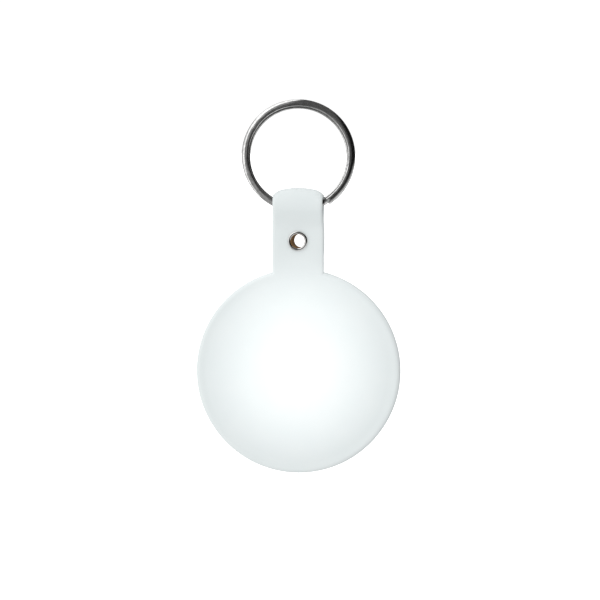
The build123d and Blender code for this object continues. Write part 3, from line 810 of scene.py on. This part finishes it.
NODE_FINISHES = {
    "front_housing": lambda: plastic("front_housing_plastic", (0.64, 0.66, 0.66), 0.45),
    "rear_housing": lambda: plastic("rear_housing_plastic", (0.60, 0.62, 0.625), 0.48),
    "housing_gasket": lambda: plastic("gasket_rubber", (0.05, 0.05, 0.055), 0.6),
    "battery_cover": lambda: plastic("cover_plastic", (0.51, 0.535, 0.545), 0.42, 0.09 * MM),
    "cover_seal": lambda: plastic("seal_rubber", (0.03, 0.03, 0.035), 0.5),
    "cell_can": lambda: metal("can_steel", (0.66, 0.66, 0.67), 0.2, stretch=(1, 1, 0.1)),
    "cell_seal": lambda: plastic("cell_seal_plastic", (0.10, 0.10, 0.11), 0.5),
    "cell_cap": lambda: metal("cap_steel", (0.70, 0.70, 0.70), 0.25, stretch=(1, 1, 0.1)),
    "positive_contact": lambda: metal("positive_contact_gold", (0.85, 0.66, 0.32), 0.22),
    "negative_contact": lambda: metal("negative_contact_gold", (0.85, 0.66, 0.32), 0.24),
    "circuit_board": solder_mask,
    "board_screws": lambda: metal("screw_zinc", (0.56, 0.57, 0.58), 0.32),
    "radio_chip": lambda: plastic("radio_epoxy", (0.035, 0.035, 0.038), 0.5, 0.05 * MM),
    "clock_crystal": lambda: metal("crystal_lid", (0.72, 0.70, 0.64), 0.25),
    "motion_sensor": lambda: plastic("sensor_epoxy", (0.04, 0.04, 0.045), 0.45, 0.05 * MM),
    "chip_antenna": lambda: ceramic("antenna_ceramic", (0.78, 0.78, 0.74)),
    "board_passives": lambda: ceramic("passive_ceramic", (0.45, 0.34, 0.24)),
    "press_button": lambda: plastic("button_plastic", (0.56, 0.58, 0.59), 0.4),
    "switch_base": lambda: plastic("switch_plastic", (0.06, 0.06, 0.065), 0.45),
    "switch_dome": lambda: metal("dome_steel", (0.68, 0.68, 0.68), 0.18),
    "piezo_plate": lambda: metal("piezo_brass", (0.78, 0.60, 0.28), 0.3, stretch=(1, 1, 0.08)),
    "piezo_ceramic": lambda: ceramic("piezo_silvered", (0.80, 0.79, 0.76)),
    "piezo_contacts": lambda: metal("piezo_pin_gold", (0.85, 0.66, 0.32), 0.2),
}


def dress(obj, material):
    """Gives the object one material, in all its slots."""
    obj.data.materials.clear()
    obj.data.materials.append(material)


# ---- studio ----

IMAGE_WIDTH = 132.4 * MM         # what the camera frames at the object
CAMERA_DISTANCE = 1.0
CAMERA_AZIMUTH = math.radians(4.5)
CAMERA_ELEVATION = math.radians(3.5)
TARGET = Vector((0.35 * MM, 0, (cad_low.z + cad_high.z) / 2 - 2.95 * MM))
FLOOR_Z = cad_low.z - 45 * MM
FLOOR_HALF = 4.0
FLOOR_GLOW = 0.2                 # a lightbox table, as pale as the room
FLOOR_CLOUD = 0.125              # from one cloud to the next
FLOOR_TONES = ((0.95, 0.95, 0.95), (0.97, 0.97, 0.97))
FLOOR_ROUGHNESS = 0.9
KEY_LIGHT = ((-0.15, -1.0, -0.1), 0.5, 1.8)      # place, side, energy
TOP_LIGHT = ((-0.3, 0.34, 0.85), 0.4, 1.5)
SEEN_WHITE = 1.05                # of the backdrop in the camera
REFLECTED_TINT = (0.98, 0.99, 1.0, 1)

EVEN_LIGHT = 1.43
SHADE = 0.55                     # share of the even light that comes from the shaded side
SHADE_DIRECTION = Vector((0.9, 0, -0.4)).normalized()
SHADE_FROM = -0.1                # these and the ones below are cosines to a direction
SHADE_FULL = 0.9

DARK_ROOM = 0.09
BLACK_SIDE = 0.008
BLACK_DIRECTION = Vector((0.85, 0, -0.53))
BLACK_FROM = 0.0
BLACK_FULL = 0.2
CARDS = (                        # direction, cosines where a card starts and is full, strength
    ((-1, 0, 0.06), 0.08, 0.20, 0.34),
    ((-0.97, 0, 0.25), 0.46, 0.54, 1.10),
    ((-0.9, 0, 0.43), 0.42, 0.50, 1.55),
    ((0.25, 0, -0.97), 0.28, 0.38, 0.20),
    ((-0.6, 0, -0.8), 0.74, 0.86, 0.45),
    ((0.5, 0, -0.87), 0.60, 0.72, 0.75),
)
LEFT_FADE = 0.45                 # of the cards, straight to the left
LEFT_FADE_FROM = -0.70
LEFT_FADE_FULL = -0.86
BEHIND = 0.16
BEHIND_FROM = 0.0
BEHIND_FULL = 0.4


def camera():
    """A long lens, a little to the right of the face and above it."""
    data = bpy.data.cameras.new("camera")
    data.lens = data.sensor_width * CAMERA_DISTANCE / IMAGE_WIDTH
    obj = bpy.data.objects.new("camera", data)
    bpy.context.scene.collection.objects.link(obj)
    level = math.cos(CAMERA_ELEVATION)
    back = Vector((math.sin(CAMERA_AZIMUTH) * level, -math.cos(CAMERA_AZIMUTH) * level,
                   math.sin(CAMERA_ELEVATION)))
    obj.location = TARGET + back * CAMERA_DISTANCE
    obj.rotation_euler = (-back).to_track_quat("-Z", "Y").to_euler()
    bpy.context.scene.camera = obj


def soft_light(name, where, size, energy):
    """A large square light that faces the object and isn't itself reflected."""
    data = bpy.data.lights.new(name, "AREA")
    data.size = size
    data.energy = energy
    obj = bpy.data.objects.new(name, data)
    bpy.context.scene.collection.objects.link(obj)
    obj.location = where
    obj.rotation_euler = (TARGET - obj.location).to_track_quat("-Z", "Y").to_euler()
    obj.visible_glossy = False


def floor():
    """A pale floor well below the hanging tag, which neither lights it nor shows in it."""
    bm = bmesh.new()
    bmesh.ops.create_grid(bm, x_segments=8, y_segments=8, size=FLOOR_HALF)
    obj = new_object("floor", bm)
    obj.location.z = FLOOR_Z
    material, tree, bsdf = new_material("floor_pale")
    cloud = noise(tree, place(tree), 1 / FLOOR_CLOUD)
    tree.links.new(mixed(tree, cloud, *map(rgba, FLOOR_TONES)), bsdf.inputs["Base Color"])
    bsdf.inputs["Roughness"].default_value = FLOOR_ROUGHNESS
    bsdf.inputs["Specular IOR Level"].default_value = 0.0
    bsdf.inputs["Emission Color"].default_value = (1, 1, 1, 1)
    bsdf.inputs["Emission Strength"].default_value = FLOOR_GLOW
    dress(obj, material)
    obj.visible_glossy = False
    obj.visible_diffuse = False


def background(tree, strength, colour=(1, 1, 1, 1)):
    """A background shader's output."""
    return node(tree, "ShaderNodeBackground", {"Color": colour, "Strength": strength}).outputs[0]


def studio_world():
    """Soft light all round, weaker from the lower right, and for polished surfaces a studio: dark
    round the camera, black to the lower right, with white and grey cards on the left and below,
    which fade out behind the object and straight to the left."""
    world = bpy.data.worlds.new("studio")
    bpy.context.scene.world = world
    world.use_nodes = True
    tree = world.node_tree
    toward = node(tree, "ShaderNodeTexCoord").outputs["Generated"]
    parts = node(tree, "ShaderNodeSeparateXYZ", {"Vector": toward}).outputs
    toward_black = facing(tree, toward, BLACK_DIRECTION)
    brightest = ranged(tree, toward_black, BLACK_FROM, BLACK_FULL, DARK_ROOM, BLACK_SIDE)
    for direction, dim, full, strength in CARDS:
        toward_card = facing(tree, toward, Vector(direction).normalized())
        card = ranged(tree, toward_card, dim, full, 0.0, strength)
        brightest = math_node(tree, "MAXIMUM", brightest, card)
    fade = ranged(tree, parts["X"], LEFT_FADE_FULL, LEFT_FADE_FROM, LEFT_FADE, 1.0)
    brightest = math_node(tree, "MULTIPLY", brightest, fade)
    ahead = ranged(tree, parts["Y"], BEHIND_FROM, BEHIND_FULL, 1.0, 0.0)
    behind = ranged(tree, parts["Y"], BEHIND_FROM, BEHIND_FULL, 0.0, BEHIND)
    brightest = math_node(tree, "ADD", math_node(tree, "MULTIPLY", brightest, ahead), behind)
    polished = background(tree, brightest, REFLECTED_TINT)
    toward_shade = facing(tree, toward, SHADE_DIRECTION)
    shaded = ranged(tree, toward_shade, SHADE_FROM, SHADE_FULL, EVEN_LIGHT, SHADE * EVEN_LIGHT)
    even = background(tree, shaded)
    seen = background(tree, SEEN_WHITE)
    path = node(tree, "ShaderNodeLightPath").outputs
    lit = node(tree, "ShaderNodeMixShader", {0: path["Is Glossy Ray"], 1: even, 2: polished}).outputs[0]
    whole = node(tree, "ShaderNodeMixShader", {0: path["Is Camera Ray"], 1: lit, 2: seen}).outputs[0]
    output = tree.nodes.get("World Output") or node(tree, "ShaderNodeOutputWorld")
    tree.links.new(whole, output.inputs["Surface"])


# ---- making ----

camera()
studio_world()
soft_light("key", *KEY_LIGHT)
soft_light("top", *TOP_LIGHT)
floor()
bpy.context.scene.view_settings.view_transform = "Standard"

holder_piece = soft_holder()
dress(holder_piece, soft_vinyl())
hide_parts("soft_holder")
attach(holder_piece, "tag")

ring_piece = split_ring()
dress(ring_piece, ring_nickel())
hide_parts("split_ring")
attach(ring_piece, "ring")

eyelet_piece = eyelet()
dress(eyelet_piece, eyelet_metal())
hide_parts("eyelet")
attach(eyelet_piece, "tag")

washer_piece = eyelet_washer()
dress(washer_piece, metal("washer_nickel", (0.62, 0.60, 0.57), 0.2))
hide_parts("eyelet_washer")
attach(washer_piece, "tag")

for node_name, finish in NODE_FINISHES.items():
    dress(frame["nodes"][node_name], finish())
